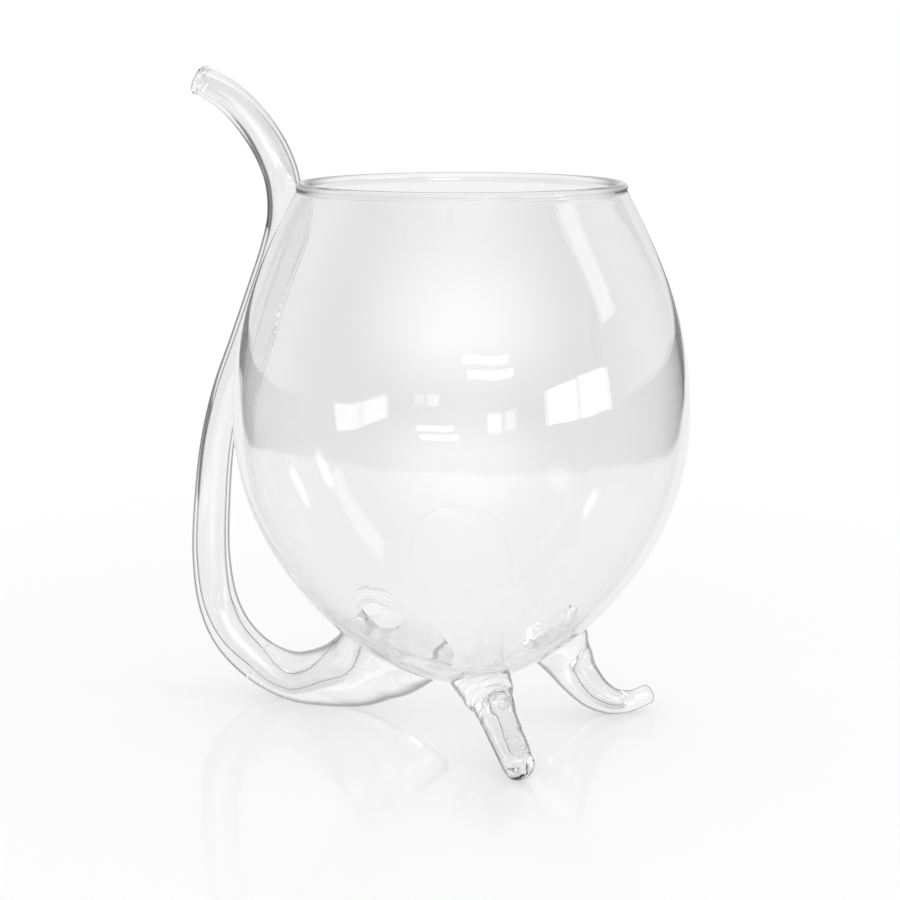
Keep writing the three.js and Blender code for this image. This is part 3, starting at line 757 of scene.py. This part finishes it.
def horn_leg(name, azimuth, rows, split, hollow, cap_radius, worked):
    """Weld, horn and toe of one leg. The toe starts at the row numbered split, and the hollow is a
    bubble that lies towards the upper side."""
    run = smooth_run([on_leg(azimuth, *row) for row in rows], STEPS)
    toe_run = run[split * STEPS:]
    end = toe_run[-1]
    out = (Vector(end[:3]) - Vector(toe_run[-2][:3])).normalized()
    for share in (0.98, 0.92, 0.82, 0.68, 0.5, 0.3, 0.1):
        ahead = 0.6 * math.sqrt(1 - share * share)
        toe_run.append((*(Vector(end[:3]) + out * cap_radius * ahead), end[3] * share))
    horn = draw_bar(name + "_leg_horn_glass", run[:split * STEPS + 1], thick_finishes, caps=(1, 1))
    ripple_glass(horn, worked, grain=3, depth=0.7)
    toe = draw_bar(name + "_leg_toe_glass", toe_run, thick_finishes, caps=(1, 0))
    bubble_run = smooth_run([on_leg(azimuth, *row) for row in hollow], 4)
    bubble = draw_bar("bubble", bubble_run, thick_finishes, sides=48)
    cut(bowl, plug_of(horn, name + "_plug"), "UNION")
    weld = copy_of(horn, name + "_leg_weld_glass")
    cut(weld, in_weld, "INTERSECT", keep_tool=True)
    cut(weld, in_bowl, keep_tool=True)
    cut(weld, bubble, keep_tool=True)
    cut(horn, in_weld, keep_tool=True)
    cut(horn, bubble, keep_tool=True)
    cut(toe, bubble)
    at_table(horn)
    at_table(toe)
    finish_glass(weld, name + "_leg_weld")
    finish_glass(horn, name + "_leg_horn")
    finish_glass(toe, name + "_leg_toe")


# A row of a leg is its reach from the bowl's axis, height and radius, and a row of a hollow may also
# say how far it lies beside the leg's plane
horn_leg(
    "front", azimuth=-46.3, split=8, cap_radius=2.85,
    rows=[(9.6, 14.2, 6.0), (12.6, 12.4, 5.1), (14.0, 11.6, 4.85), (14.9, 11.1, 4.6), (15.5, 10.75, 4.1),
          (17.2, 9.7, 3.8), (19.9, 7.9, 3.44), (22.7, 6.3, 3.25), (25.5, 4.85, 3.14), (28.25, 3.2, 2.95),
          (29.5, 2.85, 2.85)],
    hollow=[(15.5, 11.5, 0.3, 0.4), (15.7, 11.4, 1.4, 0.5), (16.3, 11.0, 2.1, 0.6), (17.8, 10.1, 2.4, 0.75),
            (20.4, 8.4, 2.25, 0.75), (23.2, 6.75, 2.1, 0.7), (25.6, 5.4, 1.95, 0.65),
            (26.9, 4.65, 1.7, 0.5), (27.9, 4.1, 1.1, 0.35), (28.2, 3.95, 0.3, 0.3)],
    worked=lambda place: ease(place.z, 5.5, 8) * ease(place.z, 13.5, 11.5))
horn_leg(
    "rear", azimuth=34.7, split=7, cap_radius=1.95,
    rows=[(16.3, 20.8, 7.6), (18.9, 16.2, 6.4), (21.1, 12.3, 5.0), (23.5, 8.4, 4.1), (26.5, 4.9, 3.45),
          (29.2, 3.1, 2.9), (30.8, 2.5, 2.6), (32.4, 2.3, 2.35), (33.9, 2.3, 2.16), (35.3, 2.6, 1.98),
          (37.7, 3.45, 1.95)],
    hollow=[(22.5, 15.0, 0.3), (22.6, 14.8, 1.0), (22.9, 13.8, 1.7), (23.4, 11.6, 2.3), (24.4, 9.2, 2.4),
            (26.8, 5.6, 2.05), (29.4, 3.65, 1.75), (30.9, 2.95, 1.55), (32.2, 2.7, 1.3), (33.0, 2.65, 0.8),
            (33.3, 2.65, 0.2)],
    worked=lambda place: ease(place.z, 9, 13))
# Last, the bore opens the port in the bowl's wall
cut(bowl, bore)
finish_glass(bowl, "bowl")
for form in (in_bowl, in_weld, mid_wall):
    bpy.data.objects.remove(form, do_unlink=True)
